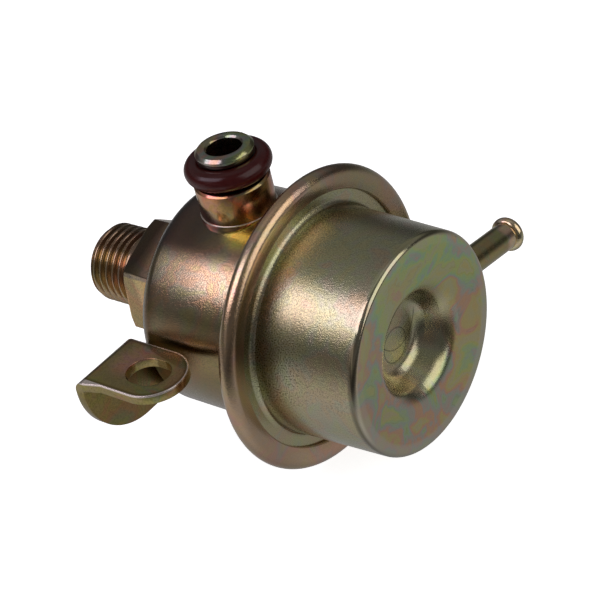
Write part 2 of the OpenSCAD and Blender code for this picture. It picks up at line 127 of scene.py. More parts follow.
# Braze seams, in millimetres
COLLAR_R = 6.3
COLLAR_FOOT = 19.25
COLLAR_SEAM = 0.12
SEAM_SIDES = 12
SEAM_STEPS = 96
INLET_X = mounts["inlet_spigot"]["pos_m"][0] / MM
NIPPLE_R = 2.45
NIPPLE_SEAM = 0.35
NIPPLE_X = mounts["vacuum_nipple"]["pos_m"][0] / MM
NIPPLE_AXIS = Vector(mounts["vacuum_nipple"]["axis"])
COVER_R = 18.78

# Places of the films, marks, painted shade, painted reflections and painted highlights, in millimetres
END_FACE_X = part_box("spring_cover")[1].x / MM
FACE_R = 17.5
LAND_R = 16.3
DIMPLE_FLOOR_X = END_FACE_X - 6.2
PUNCH_MARKS = [((0, 1.27, 1.90), 4.67, 0.16), ((0, 0.10, -1.82), 2.98, 0.18)]
RIM_X = 33.0
COLLAR_REFLECTION_SPOT = (27.8, -5.5, 18.5)
BOW_START_X = 25.0
BOW_RATE = 0.006
NECK_Z = 26.0
HEAD_Z = 29.0
TAB_PATCH = (16.5, -25.5, 3.7)
TAB_TOP_Z = 3.7
TAB_ROOT_Y = -20.6
TAB_END = (21.5, -26.5)
TAB_END_R = 5.9
BEAD_START = 36.5
HEX_CORNER_Z = 5.5

# Springs and diaphragm, in millimetres
MAIN_COIL = {"mean_r": 10.2, "wire_r": 1.2, "turns": 3.6, "flat": 0.35}
BALL_COIL = {"mean_r": 1.2, "wire_r": 0.22, "turns": 3.5, "flat": 0.3}
COIL_STEPS = 48
COIL_SIDES = 16


def smooth_step(low, high, value):
    """0 below low, 1 above high and a smooth rise between them."""
    share = min(1, max(0, (value - low) / (high - low)))
    return share * share * (3 - 2 * share)


def direction(azimuth, elevation):
    """Unit vector at an azimuth from +X towards +Y and an elevation, in degrees."""
    a, e = radians(azimuth), radians(elevation)
    return Vector((cos(e) * cos(a), cos(e) * sin(a), sin(e)))


# Mesh helpers

def finish_piece(name, bm, body, material, sharp=35):
    """Turn a bmesh into a smooth piece that rides on a body."""
    mesh = bpy.data.meshes.new(name)
    bm.to_mesh(mesh)
    bm.free()
    mesh.polygons.foreach_set("use_smooth", [True] * len(mesh.polygons))
    mesh.set_sharp_from_angle(angle=radians(sharp))
    mesh.materials.append(material)
    piece = bpy.data.objects.new(name, mesh)
    bpy.context.scene.collection.objects.link(piece)
    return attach(piece, body)


def node_copy(name):
    """A merged copy of a node's mesh with its flat faces joined."""
    bm = bmesh.new()
    bm.from_mesh(nodes[name].data)
    bmesh.ops.remove_doubles(bm, verts=bm.verts, dist=MERGE)
    bmesh.ops.dissolve_limit(bm, angle_limit=radians(0.2), verts=bm.verts, edges=bm.edges)
    return bm


def sharp_edges(bm, angle):
    """Edges between faces that meet at more than an angle in degrees."""
    limit = radians(angle)
    return [edge for edge in bm.edges if edge.is_manifold and edge.calc_face_angle() > limit]


def round_edges(bm, edges, width, segments=3):
    """Round edges off by a width in millimetres."""
    bmesh.ops.bevel(
        bm, geom=edges, offset=width * MM, offset_type="OFFSET", segments=segments,
        profile=0.5, affect="EDGES", clamp_overlap=True, material=-1,
    )


def ring_of_edges(bm, station, reach=0.2):
    """Open edges close to a station along X, in millimetres."""
    return [
        edge for edge in bm.edges
        if edge.is_boundary and all(abs(v.co.x / MM - station) < reach for v in edge.verts)
    ]


# Outlet fitting with its thread

def thread_profile_r(x):
    """Radius of the thread's profile at a station, before its ends are cut."""
    from_crest = abs(((x - CREST_X) / THREAD_PITCH + 0.5) % 1 - 0.5) * 2
    flank = smooth_step(CREST_SHARE, 1 - ROOT_SHARE, from_crest)
    return THREAD_R - THREAD_DEPTH * flank


def thread_end_r(x, r):
    """The radius cut by the tip's chamfer and faded into the plain neck."""
    chamfer_r = THREAD_R - THREAD_CHAMFER + (x - THREAD_TIP)
    fade = smooth_step(-THREAD_RUN_OUT - THREAD_FADE, -THREAD_RUN_OUT, x)
    return min(r + (THREAD_NECK_R - r) * fade, chamfer_r)


def threaded_tube():
    """The thread as a mesh tube along X, swept along its helix and open at both ends."""
    bm = bmesh.new()
    pitches = int(-THREAD_TIP / THREAD_PITCH) + 3
    verts = []
    for i in range(pitches * THREAD_SAMPLES + 1):
        x = THREAD_TIP - 2 * THREAD_PITCH + i * THREAD_PITCH / THREAD_SAMPLES
        verts.append(bm.verts.new((x * MM, 0, thread_profile_r(x) * MM)))
    edges = [bm.edges.new(pair) for pair in zip(verts, verts[1:])]
    bmesh.ops.spin(
        bm, geom=verts + edges, cent=(0, 0, 0), axis=X_AXIS, angle=2 * pi, steps=THREAD_STEPS,
        dvec=(THREAD_PITCH * MM / THREAD_STEPS, 0, 0), use_merge=False,
    )
    bmesh.ops.remove_doubles(bm, verts=bm.verts, dist=MERGE)
    for v in bm.verts:
        x, r = v.co.x / MM, hypot(v.co.y, v.co.z) / MM
        scale = thread_end_r(x, r) / r
        v.co.y *= scale
        v.co.z *= scale
    for station, side in ((THREAD_TIP + THREAD_TRIM, -1), (-THREAD_TRIM, 1)):
        geom = list(bm.verts) + list(bm.edges) + list(bm.faces)
        bmesh.ops.bisect_plane(
            bm, geom=geom, plane_co=(station * MM, 0, 0), plane_no=(side, 0, 0), clear_outer=True,
        )
    mesh = bpy.data.meshes.new("thread")
    bm.to_mesh(mesh)
    bm.free()
    return mesh


def outlet_fitting_piece(material):
    """The fitting with its hexagon's edges broken and a cut thread in place of the plain stub."""
    bm = node_copy("outlet_fitting")
    corner_r = max(hypot(v.co.y, v.co.z) for v in bm.verts)
    long_edges = [
        edge for edge in bm.edges
        if all(hypot(v.co.y, v.co.z) > corner_r - 5 * TOUCH for v in edge.verts)
        and edge.calc_length() > HEX_EDGE_LENGTH * MM
    ]
    round_edges(bm, long_edges, HEX_EDGE)
    inner_r = (THREAD_R - THREAD_CHAMFER) * MM - TOUCH
    outer_r = THREAD_R * MM + TOUCH
    stub = [
        face for face in bm.faces
        if all(v.co.x < TOUCH and inner_r < hypot(v.co.y, v.co.z) < outer_r for v in face.verts)
        and abs(face.normal.x) < 0.9
    ]
    bmesh.ops.delete(bm, geom=stub, context="FACES")
    tube = threaded_tube()
    bm.from_mesh(tube)
    bpy.data.meshes.remove(tube)
    for station in (THREAD_TIP, 0):
        bmesh.ops.bridge_loops(bm, edges=ring_of_edges(bm, station))
    bmesh.ops.recalc_face_normals(bm, faces=bm.faces)
    piece = finish_piece("threaded_outlet", bm, BODY, material)
    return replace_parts(piece, "outlet_fitting")


# Bracket and spigot with broken edges

def eased_piece(name, node, material, width):
    """A node with its sharp edges rounded off."""
    bm = node_copy(node)
    round_edges(bm, sharp_edges(bm, 40), width)
    piece = finish_piece(name, bm, BODY, material, sharp=50)
    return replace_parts(piece, node)


# Braze seams

def seam_ring(tube_r, cord_r):
    """A thin ring of braze round the Z axis, in millimetres."""
    bm = bmesh.new()
    bmesh.ops.create_circle(
        bm, segments=SEAM_SIDES, radius=cord_r * MM,
        matrix=Matrix.Translation((tube_r * MM, 0, 0)) @ Matrix.Rotation(pi / 2, 4, "X"),
    )
    bmesh.ops.spin(
        bm, geom=list(bm.verts) + list(bm.edges), cent=(0, 0, 0), axis=Z_AXIS, angle=2 * pi,
        steps=SEAM_STEPS, use_merge=True,
    )
    bmesh.ops.recalc_face_normals(bm, faces=bm.faces)
    return bm


def collar_seam_piece(material):
    """The bright seam under the foot of the spigot's collar."""
    bm = seam_ring(COLLAR_R, COLLAR_SEAM)
    bmesh.ops.translate(bm, verts=bm.verts, vec=(INLET_X * MM, 0, COLLAR_FOOT * MM))
    piece = finish_piece("collar_braze_seam", bm, BODY, material)
    return piece


def nipple_seam_piece(material):
    """The seam that follows the cover's wall round the nipple's root."""
    bm = seam_ring(NIPPLE_R, NIPPLE_SEAM)
    for v in bm.verts:
        v.co.z += sqrt((COVER_R * MM) ** 2 - v.co.y ** 2)
    turn = Z_AXIS.rotation_difference(NIPPLE_AXIS).to_matrix()
    bmesh.ops.rotate(bm, verts=bm.verts, cent=(0, 0, 0), matrix=turn)
    bmesh.ops.translate(bm, verts=bm.verts, vec=(NIPPLE_X * MM, 0, 0))
    piece = finish_piece("nipple_braze_seam", bm, BODY, material)
    return piece


# Springs and diaphragm

def coil_piece(name, node, body, material, mean_r, wire_r, turns, flat):
    """A coil spring with flat ends, wound about X inside its node's box."""
    low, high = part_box(node)
    rise = high.x - low.x - 2 * wire_r * MM
    bm = bmesh.new()
    ring = bmesh.ops.create_circle(
        bm, segments=COIL_SIDES, radius=wire_r * MM,
        matrix=Matrix.Translation((low.x + wire_r * MM, 0, -mean_r * MM)),
    )["verts"]
    bmesh.ops.rotate(bm, verts=ring, cent=(low.x + wire_r * MM, 0, -mean_r * MM),
                     matrix=Matrix.Rotation(pi / 2, 3, "X"))
    geom = list(bm.verts) + list(bm.edges)
    for span, climb in ((flat, 0), (turns - 2 * flat, rise), (flat, 0)):
        steps = round(span * COIL_STEPS)
        geom = bmesh.ops.spin(
            bm, geom=geom, cent=(0, 0, 0), axis=X_AXIS, angle=2 * pi * span, steps=steps,
            dvec=(climb / steps, 0, 0), use_merge=False,
        )["geom_last"]
    bmesh.ops.holes_fill(bm, edges=[edge for edge in bm.edges if edge.is_boundary], sides=COIL_SIDES)
    bmesh.ops.recalc_face_normals(bm, faces=bm.faces)
    piece = finish_piece(name, bm, body, material)
    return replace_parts(piece, node)


def diaphragm_piece(material):
    """The diaphragm, a merged copy of its node."""
    bm = node_copy("diaphragm")
    piece = finish_piece("rolling_diaphragm", bm, BODY, material)
    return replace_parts(piece, "diaphragm")


# Shader nodes

class Graph:
    """Adds nodes to one node tree, and links a socket that is given as a value."""

    def __init__(self, tree):
        self.tree = tree

    def add(self, kind, inputs=None, **settings):
        made = self.tree.nodes.new(kind)
        for name, value in settings.items():
            setattr(made, name, value)
        for name, value in (inputs or {}).items():
            self.feed(made.inputs[name], value)
        return made

    def feed(self, socket, value):
        """Link a socket to another one, or set its value."""
        if isinstance(value, bpy.types.NodeSocket):
            self.tree.links.new(value, socket)
        else:
            socket.default_value = value

    def math(self, operation, a, b=0.0, clamp=False):
        return self.add("ShaderNodeMath", {0: a, 1: b}, operation=operation, use_clamp=clamp).outputs[0]

    def vector(self, operation, a, b):
        return self.add("ShaderNodeVectorMath", {0: a, 1: b}, operation=operation).outputs[0]

    def measure(self, operation, a, b=(0, 0, 0)):
        """The length of a vector, or the distance or dot product of two."""
        return self.add("ShaderNodeVectorMath", {0: a, 1: b}, operation=operation).outputs["Value"]

    def parts(self, place):
        """The X, Y and Z of a place."""
        return self.add("ShaderNodeSeparateXYZ", {0: place}).outputs

    def product(self, *masks):
        """Masks multiplied together."""
        made = masks[0]
        for mask in masks[1:]:
            made = self.math("MULTIPLY", made, mask)
        return made

    def rest(self, mask):
        """What a mask leaves out."""
        return self.math("SUBTRACT", 1.0, mask)

    def span(self, value, low, high, to_low=0.0, to_high=1.0):
        """Map a value smoothly from one range to another."""
        made = self.add(
            "ShaderNodeMapRange",
            {"Value": value, "From Min": low, "From Max": high, "To Min": to_low, "To Max": to_high},
            interpolation_type="SMOOTHSTEP",
        )
        return made.outputs["Result"]

    def mix(self, factor, a, b, blend="MIX"):
        made = self.add("ShaderNodeMix", {0: factor, 6: a, 7: b}, data_type="RGBA", blend_type=blend)
        return made.outputs[2]

    def noise(self, place, scale, detail=2.0, roughness=0.5, distortion=0.0):
        made = self.add(
            "ShaderNodeTexNoise",
            {"Vector": place, "Scale": scale, "Detail": detail, "Roughness": roughness,
             "Distortion": distortion},
        )
        return made.outputs["Fac"]

    def ramp(self, factor, stops):
        made = self.add("ShaderNodeValToRGB", {"Fac": factor})
        band = made.color_ramp
        while len(band.elements) < len(stops):
            band.elements.new(0.5)
        for element, (position, colour) in zip(band.elements, stops):
            element.position = position
            element.color = (*colour, 1)
        return made.outputs["Color"]

    def group(self, tree, inputs):
        return self.add("ShaderNodeGroup", inputs, node_tree=tree).outputs

    def millimetres(self):
        """Object coordinates in millimetres."""
        place = self.add("ShaderNodeTexCoord").outputs["Object"]
        return self.vector("MULTIPLY", place, (1 / MM,) * 3)


KINDS = {"value": "NodeSocketFloat", "colour": "NodeSocketColor", "vector": "NodeSocketVector"}


def shader_group(name, inputs, outputs):
    """An empty shader group with named sockets, its graph, and its inside sockets."""
    tree = bpy.data.node_groups.new(name, "ShaderNodeTree")
    for label, kind in inputs.items():
        tree.interface.new_socket(name=label, in_out="INPUT", socket_type=KINDS[kind])
    for label, kind in outputs.items():
        tree.interface.new_socket(name=label, in_out="OUTPUT", socket_type=KINDS[kind])
    graph = Graph(tree)
    inside = tree.nodes.new("NodeGroupInput").outputs
    result = tree.nodes.new("NodeGroupOutput").inputs
    return tree, graph, inside, result


# Hues that the chromate film runs through in steps as it thickens
FILM_STEPS = 6.0
FILM_HUES = [
    (0.00, (1.00, 0.98, 0.84)),
    (0.16, (1.08, 0.96, 0.62)),
    (0.32, (1.18, 0.76, 0.72)),
    (0.44, (1.00, 0.78, 1.04)),
    (0.56, (0.72, 0.95, 1.18)),
    (0.70, (0.78, 1.08, 0.76)),
    (0.85, (0.98, 1.06, 0.58)),
    (1.00, (1.00, 0.98, 0.84)),
]


def chromate_film_group():
    """Iridescent patches of a chromate film over a tone."""
    tree, graph, inside, result = shader_group(
        "chromate_film",
        {"Place": "vector", "Tone": "colour", "Patch Size": "value", "Shift": "value",
         "Strength": "value"},
        {"Colour": "colour", "Edge": "value"},
    )
    scale = graph.math("DIVIDE", 1.0, inside["Patch Size"])
    patches = graph.noise(inside["Place"], scale, 3.0, 0.55, 0.5)
    wide = graph.noise(graph.vector("ADD", inside["Place"], (37.0, 11.0, 53.0)),
                       graph.math("MULTIPLY", scale, 0.35), 1.0)
    swing = graph.math("MULTIPLY", graph.math("SUBTRACT", patches, 0.5), 3.2)
    sweep = graph.math("MULTIPLY", graph.math("SUBTRACT", wide, 0.5), 1.4)
    thickness = graph.math("ADD", graph.math("ADD", swing, sweep), inside["Shift"])
    layers = graph.math("MULTIPLY", thickness, FILM_STEPS)
    step = graph.span(graph.math("FRACT", layers), 0.05, 0.95)
    stepped = graph.math("ADD", graph.math("FLOOR", layers), step)
    phase = graph.math("FRACT", graph.math("DIVIDE", stepped, FILM_STEPS))
    tint = graph.mix(inside["Strength"], (1, 1, 1, 1), graph.ramp(phase, FILM_HUES))
    graph.feed(result["Colour"], graph.mix(1.0, inside["Tone"], tint, "MULTIPLY"))
    from_edge = graph.math("ABSOLUTE", graph.math("SUBTRACT", patches, 0.58))
    graph.feed(result["Edge"], graph.span(from_edge, 0.0, 0.012, 1.0, 0.0))
    return tree


def plate_grain_group():
    """Fine sparkling grain of a blasted and plated sheet."""
    tree, graph, inside, result = shader_group(
        "plate_grain",
        {"Place": "vector", "Grain Size": "value"},
        {"Height": "value", "Speck": "value"},
    )
    scale = graph.math("DIVIDE", 1.0, inside["Grain Size"])
    coarse = graph.noise(inside["Place"], scale, 2.0, 0.6)
    fine = graph.noise(graph.vector("ADD", inside["Place"], (5.0, 7.0, 3.0)), scale, 2.0, 0.6)
    graph.feed(result["Height"], coarse)
    graph.feed(result["Speck"], graph.span(fine, 0.45, 0.62))
    return tree


def ring_line_group():
    """A thin line round a centre in the YZ plane."""
    tree, graph, inside, result = shader_group(
        "ring_line",
        {"Place": "vector", "Centre": "vector", "Radius": "value", "Width": "value"},
        {"Line": "value"},
    )
    offset = graph.vector("SUBTRACT", inside["Place"], inside["Centre"])
    flat = graph.vector("MULTIPLY", offset, (0.0, 1.0, 1.0))
    far = graph.measure("LENGTH", flat)
    away = graph.math("ABSOLUTE", graph.math("SUBTRACT", far, inside["Radius"]))
    ratio = graph.math("DIVIDE", away, inside["Width"])
    graph.feed(result["Line"], graph.span(ratio, 0.3, 1.0, 1.0, 0.0))
    return tree


FILM = chromate_film_group()
GRAIN = plate_grain_group()
RING_LINE = ring_line_group()


def new_material(name):
    """A node material with its graph and an unlinked Principled shader."""
    material = bpy.data.materials.new(name)
    material.use_nodes = True
    graph = Graph(material.node_tree)
    shader = material.node_tree.nodes["Principled BSDF"]
    return material, graph, shader


def set_inputs(graph, shader, **inputs):
    """Set or link the shader's inputs, named with underscores for spaces."""
    for name, value in inputs.items():
        graph.feed(shader.inputs[name.replace("_", " ")], value)


# Smoothness of the plate, from 0 on a blasted wall to 1 on a burnished edge
FACE_POLISH = 0.25
UNDERSIDE_POLISH = 0.7
RIM_POLISH = 0.2
POLISHED_ROUGHNESS = 0.13

# Strength that the film gains on the end face
FACE_FILM = 0.68

# Tints of the film and of painted shade, painted reflections and painted highlights, which multiply the
# plate's tone, and tones that take its place
BEND_SHADE_TINT = (0.40, 0.40, 0.40)
FACE_TOP_TINT = (1.05, 1.22, 1.16)
TIDE_TINT = (0.92, 0.86, 0.86)
LAND_REFLECTION_TONE = (0.54, 0.50, 0.43, 1)
PUNCH_TINT = (0.45, 0.45, 0.45)
COLLAR_REFLECTION_TINT = (1.22, 1.50, 0.64)
RIM_TINT = (0.98, 0.88, 1.02)
RIM_RIGHT_SHADE_TINT = (0.64, 0.70, 0.66)
RIM_LEFT_SHADE_TINT = (0.82, 0.84, 0.88)
BAND_SHADE_TINT = (0.70, 0.70, 0.62)
REAR_SHADE_TINT = (0.50, 0.46, 0.42)
UNDERSIDE_SHADE_TINT = (0.40, 0.34, 0.18)
TOP_SHADE_TINT = (0.20, 0.14, 0.17)
HEAD_TINT = (0.62, 0.74, 0.72)
COLLAR_FRONT_TINT = (0.68, 0.78, 0.64)
COLLAR_TINT = (1.04, 0.68, 0.64)
LEAF_SHADE_TINT = (0.80, 0.75, 0.60)
TAB_PATCH_TINT = (1.6, 1.1, 2.0)
TAB_BORDER_SHADE_TINT = (0.62, 0.55, 0.42)
TAB_EDGE_HIGHLIGHT_TONE = (0.95, 0.82, 0.76, 1)
BEAD_HIGHLIGHT_TINT = (1.9, 1.75, 2.9)
HEX_TOP_SHADE_TINT = (0.66, 0.60, 0.76)
HEX_LOWER_REFLECTION_TINT = (1.26, 1.12, 0.80)
THREAD_TOP_SHADE_TINT = (0.58, 0.54, 0.64)
THREAD_TINT = (0.74, 0.74, 0.90)


def tinted(graph, colour, mask, tint):
    """A colour multiplied by a tint where a mask is one."""
    return graph.mix(mask, colour, graph.mix(1.0, colour, (*tint, 1), "MULTIPLY"))


def nowhere(graph, place):
    """A mask that is zero all over."""
    return 0.0


def plated(name, tone, patch=6.0, shift=0.1, strength=0.5, sweep=(0, 0, 0), rough=0.22, grain=0.22,
           depth=0.034, speck=0.72, coat=0.5, smooth=nowhere, marks=None, bow=None, bold=nowhere):
    """Yellow-passivated zinc plate with film patches and sparkling grain, smooth where masked."""
    material, graph, shader = new_material(name)
    place = graph.millimetres()
    drift = graph.measure("DOT_PRODUCT", place, sweep)
    film = graph.group(FILM, {
        "Place": place,
        "Tone": (*tone, 1),
        "Patch Size": patch,
        "Shift": graph.math("ADD", drift, shift),
        "Strength": graph.math("ADD", bold(graph, place), strength, clamp=True),
    })
    grains = graph.group(GRAIN, {"Place": place, "Grain Size": grain})
    polish = smooth(graph, place)
    pepper = graph.product(grains["Speck"], graph.span(polish, 0.0, FACE_POLISH, 1.0, 0.15))
    colour = tinted(graph, film["Colour"], pepper, (speck,) * 3)
    if marks:
        colour = marks(graph, place, colour, film["Edge"])
    height = graph.product(grains["Height"], graph.span(polish, 0.0, 1.0, depth, 0.2 * depth))
    if bow:
        height = graph.math("ADD", height, bow(graph, place))
    bump = graph.add("ShaderNodeBump", {"Height": height, "Distance": MM})
    worn = graph.product(graph.math("SUBTRACT", grains["Speck"], 0.4), 0.1)
    set_inputs(
        graph, shader,
        Base_Color=colour,
        Metallic=1.0,
        Roughness=graph.math("ADD", graph.span(polish, 0.75, 1.0, rough, POLISHED_ROUGHNESS), worn),
        Normal=bump.outputs["Normal"],
        Coat_Weight=coat,
        Coat_Roughness=0.22,
        Coat_IOR=1.6,
    )
    return material


# Masks, films, painted shade, painted reflections and painted highlights of the plated pieces

def from_axis(graph, place):
    """Distance from the main axis in millimetres."""
    return graph.measure("LENGTH", graph.vector("MULTIPLY", place, (0.0, 1.0, 1.0)))


def end_face(graph, place):
    """Mask of the cover's end face, without the dimple."""
    along = graph.parts(place)["X"]
    within = graph.span(from_axis(graph, place), FACE_R + 0.4, FACE_R)
    return graph.product(within, graph.span(along, END_FACE_X - 1.6, END_FACE_X - 1.1))


def end_land(graph, place):
    """Mask of the flat land round the dished end face."""
    along = graph.parts(place)["X"]
    outside = graph.span(from_axis(graph, place), LAND_R - 0.4, LAND_R + 0.4)
    return graph.product(outside, graph.span(along, END_FACE_X - 0.7, END_FACE_X - 0.2))


def end_polish(graph, place):
    """Smoothness of the cover: full on the end's bend, less under the wall and on the face."""
    parts = graph.parts(place)
    face = graph.span(from_axis(graph, place), FACE_R, FACE_R - 0.3, 0.0, FACE_POLISH)
    under = graph.span(parts["Z"], 0.0, -7.0, 0.0, UNDERSIDE_POLISH)
    bend = graph.span(parts["X"], END_FACE_X - 1.3, END_FACE_X - 0.8)
    return graph.math("MAXIMUM", graph.math("MAXIMUM", face, under), bend)


def end_film(graph, place):
    """Added strength of the film on the end face."""
    return graph.product(end_face(graph, place), FACE_FILM)


def cover_marks(graph, place, colour, edge):
    """Painted dark reflection on the end's bend, a greener upper face, tide lines, a painted pale
    reflection on the land and the adjusting punch's marks.
    """
    parts = graph.parts(place)
    face = end_face(graph, place)
    # Painted shade: a dark reflection on the lower left of the end's bend
    bend = graph.product(
        graph.span(parts["X"], END_FACE_X - 1.6, END_FACE_X - 0.9),
        graph.span(parts["X"], END_FACE_X - 0.1, END_FACE_X - 0.4),
        graph.span(from_axis(graph, place), FACE_R - 0.1, FACE_R + 0.3),
        graph.span(parts["Z"], 9.0, 4.0),
        graph.span(parts["Y"], 0.0, -8.0),
    )
    upper = graph.product(face, graph.span(parts["Z"], -4.0, 14.0))
    colour = tinted(graph, colour, bend, BEND_SHADE_TINT)
    colour = tinted(graph, colour, upper, FACE_TOP_TINT)
    colour = tinted(graph, colour, graph.product(edge, face), TIDE_TINT)
    # Painted reflection: a paler land, stronger towards the bottom
    pale = graph.product(end_land(graph, place), graph.span(parts["Z"], 8.0, -6.0, 0.15, 0.6))
    colour = graph.mix(pale, colour, LAND_REFLECTION_TONE)
    on_floor = graph.span(parts["X"], DIMPLE_FLOOR_X + 0.2, DIMPLE_FLOOR_X + 0.5, 1.0, 0.0)
    for centre, radius, width in PUNCH_MARKS:
        ring = {"Place": place, "Centre": centre, "Radius": radius, "Width": width}
        line = graph.group(RING_LINE, ring)["Line"]
        colour = tinted(graph, colour, graph.product(line, on_floor), PUNCH_TINT)
    return colour


def rolled_rim(graph, place):
    """Mask of the housing's rolled rim."""
    return graph.span(graph.parts(place)["X"], RIM_X - 2, RIM_X)


def rim_polish(graph, place):
    """Smoothness of the housing: a little on the rolled rim."""
    return graph.product(rolled_rim(graph, place), RIM_POLISH)


def housing_shade(graph, place, colour, edge):
    """Painted shade under the housing, on its top, at its rear, in a band below its highlight and on
    the rim's sides, a pinker rim, and a painted gold reflection of the collar.
    """
    parts = graph.parts(place)
    rim = rolled_rim(graph, place)
    wall = graph.rest(rim)
    # Painted reflection of the collar: a gold patch on the wall under it
    glow = graph.span(graph.measure("DISTANCE", place, COLLAR_REFLECTION_SPOT), 4.5, 2.0)
    # Painted shade on the rim's lower left side
    rim_left = graph.product(
        rim,
        graph.span(parts["Y"], -12.0, -19.0),
        graph.span(parts["Z"], 12.0, 5.0),
    )
    # Painted shade: a dark band below the highlight
    band = graph.product(graph.span(parts["Z"], 10.0, 8.0), graph.span(parts["Z"], 0.0, 4.0), wall)
    # Painted shade on the housing's top, weaker towards the rim
    top = graph.product(
        graph.span(parts["Z"], 14.7, 16.9),
        graph.span(parts["X"], 30.0, 18.0, 0.45, 1.0),
        graph.rest(glow),
        wall,
    )
    film_and_shade_tints = [
        (graph.product(glow, wall), COLLAR_REFLECTION_TINT),
        (rim, RIM_TINT),
        # Painted shade on the rim's +Y side
        (graph.product(rim, graph.span(parts["Y"], 0.0, 10.0)), RIM_RIGHT_SHADE_TINT),
        (rim_left, RIM_LEFT_SHADE_TINT),
        (band, BAND_SHADE_TINT),
        # Painted shade towards the rear edge
        (graph.span(parts["X"], 16.2, 13.6), REAR_SHADE_TINT),
        # Painted shade under the housing
        (graph.product(graph.span(parts["Z"], 11.0, -3.0), wall), UNDERSIDE_SHADE_TINT),
        (top, TOP_SHADE_TINT),
    ]
    for mask, tint in film_and_shade_tints:
        colour = tinted(graph, colour, mask, tint)
    return colour


def housing_bow(graph, place):
    """Height of the housing's wall as it falls away towards its rear edge, in millimetres."""
    along = graph.parts(place)["X"]
    back = graph.math("MAXIMUM", graph.math("SUBTRACT", BOW_START_X, along), 0.0)
    return graph.product(graph.math("POWER", back, 2.0), -BOW_RATE)


def collar_film(graph, place, colour, edge):
    """A thicker brown film on the spigot's collar and a grey one on its head."""
    parts = graph.parts(place)
    head = graph.span(parts["Z"], HEAD_Z - 1, HEAD_Z)
    collar = graph.span(parts["Z"], NECK_Z + 0.5, NECK_Z - 0.5)
    # Darker and greener towards +X
    front = graph.product(collar, graph.span(parts["X"], INLET_X, INLET_X + 3.5))
    colour = tinted(graph, colour, head, HEAD_TINT)
    colour = tinted(graph, colour, front, COLLAR_FRONT_TINT)
    return tinted(graph, colour, collar, COLLAR_TINT)


def tab_film_and_highlight(graph, place, colour, edge):
    """Painted shade on the leaf under the tab, a pink film patch on the tab, and a painted highlight
    line in a painted dark border round its end.
    """
    parts = graph.parts(place)
    # Painted shade on the leaf under the tab
    leaf = graph.span(parts["Z"], 2.0, 1.0)
    tab = graph.product(
        graph.span(parts["Z"], TAB_TOP_Z - 0.4, TAB_TOP_Z - 0.2),
        graph.span(parts["Y"], TAB_ROOT_Y + 0.4, TAB_ROOT_Y + 0.1),
    )
    patch = graph.span(graph.measure("DISTANCE", place, TAB_PATCH), 5.0, 1.5)
    # Painted dark border and painted highlight line along the tab's rounded end
    beyond = graph.math("MAXIMUM", graph.math("SUBTRACT", parts["X"], TAB_END[0]), 0.0)
    aside = graph.math("SUBTRACT", parts["Y"], TAB_END[1])
    from_end = graph.add("ShaderNodeCombineXYZ", {"X": beyond, "Y": aside}).outputs["Vector"]
    out = graph.measure("LENGTH", from_end)
    border = graph.span(out, TAB_END_R - 0.9, TAB_END_R - 0.4)
    line = graph.span(out, TAB_END_R - 0.26, TAB_END_R - 0.2)
    colour = tinted(graph, colour, leaf, LEAF_SHADE_TINT)
    colour = tinted(graph, colour, graph.product(tab, patch), TAB_PATCH_TINT)
    colour = tinted(graph, colour, graph.product(tab, border), TAB_BORDER_SHADE_TINT)
    return graph.mix(graph.product(tab, line), colour, TAB_EDGE_HIGHLIGHT_TONE)


def bead_highlight(graph, place, colour, edge):
    """A painted pale pink highlight on the nipple's bead."""
    out = graph.measure("DOT_PRODUCT", place, NIPPLE_AXIS)
    return tinted(graph, colour, graph.span(out, BEAD_START - 1.5, BEAD_START), BEAD_HIGHLIGHT_TINT)


def thread_film_and_shade(graph, place, colour, edge):
    """A duller film on the thread with painted shade on its top, and on the hexagon painted shade above
    and a painted pale reflection below.
    """
    parts = graph.parts(place)
    hexagon = graph.span(parts["X"], -0.2, 0.2)
    thread = graph.rest(hexagon)
    above = graph.span(parts["Z"], HEX_CORNER_Z - 0.3, HEX_CORNER_Z + 0.2)
    # Painted shade on the thread's top
    thread_top = graph.product(thread, graph.span(parts["Z"], 4.6, 6.2))
    # Painted shade on the hexagon's upper facets and a painted pale reflection on its lower ones
    colour = tinted(graph, colour, graph.product(hexagon, above), HEX_TOP_SHADE_TINT)
    colour = tinted(graph, colour, graph.product(hexagon, graph.rest(above)), HEX_LOWER_REFLECTION_TINT)
    colour = tinted(graph, colour, thread_top, THREAD_TOP_SHADE_TINT)
    return tinted(graph, colour, thread, THREAD_TINT)


# Rubber and bare metal

def rubber(name, tone, rough):
    """Rubber with a faint mottle and a fine skin."""
    material, graph, shader = new_material(name)
    place = graph.millimetres()
    mottle = graph.noise(place, 0.9, 3.0)
    colour = graph.mix(mottle, (*tone, 1), (*[c * 1.6 for c in tone], 1))
    skin = graph.noise(place, 6.0, 2.0)
    bump = graph.add("ShaderNodeBump", {"Height": skin, "Distance": 0.006 * MM})
    set_inputs(
        graph, shader,
        Base_Color=colour,
        Roughness=graph.span(mottle, 0.3, 0.7, rough - 0.05, rough + 0.05),
        Normal=bump.outputs["Normal"],
        Specular_IOR_Level=0.32,
    )
    return material


def bare_metal(name, tone, rough):
    """Plain metal with faint clouds and a fine grain."""
    material, graph, shader = new_material(name)
    place = graph.millimetres()
    cloud = graph.noise(place, 0.6, 3.0)
    fine = graph.noise(place, 9.0, 2.0)
    bump = graph.add("ShaderNodeBump", {"Height": fine, "Distance": 0.004 * MM})
    set_inputs(
        graph, shader,
        Base_Color=graph.mix(cloud, (*[c * 0.8 for c in tone], 1), (*tone, 1)),
        Metallic=1.0,
        Roughness=graph.span(fine, 0.3, 0.7, rough - 0.06, rough + 0.06),
        Normal=bump.outputs["Normal"],
    )
    return material


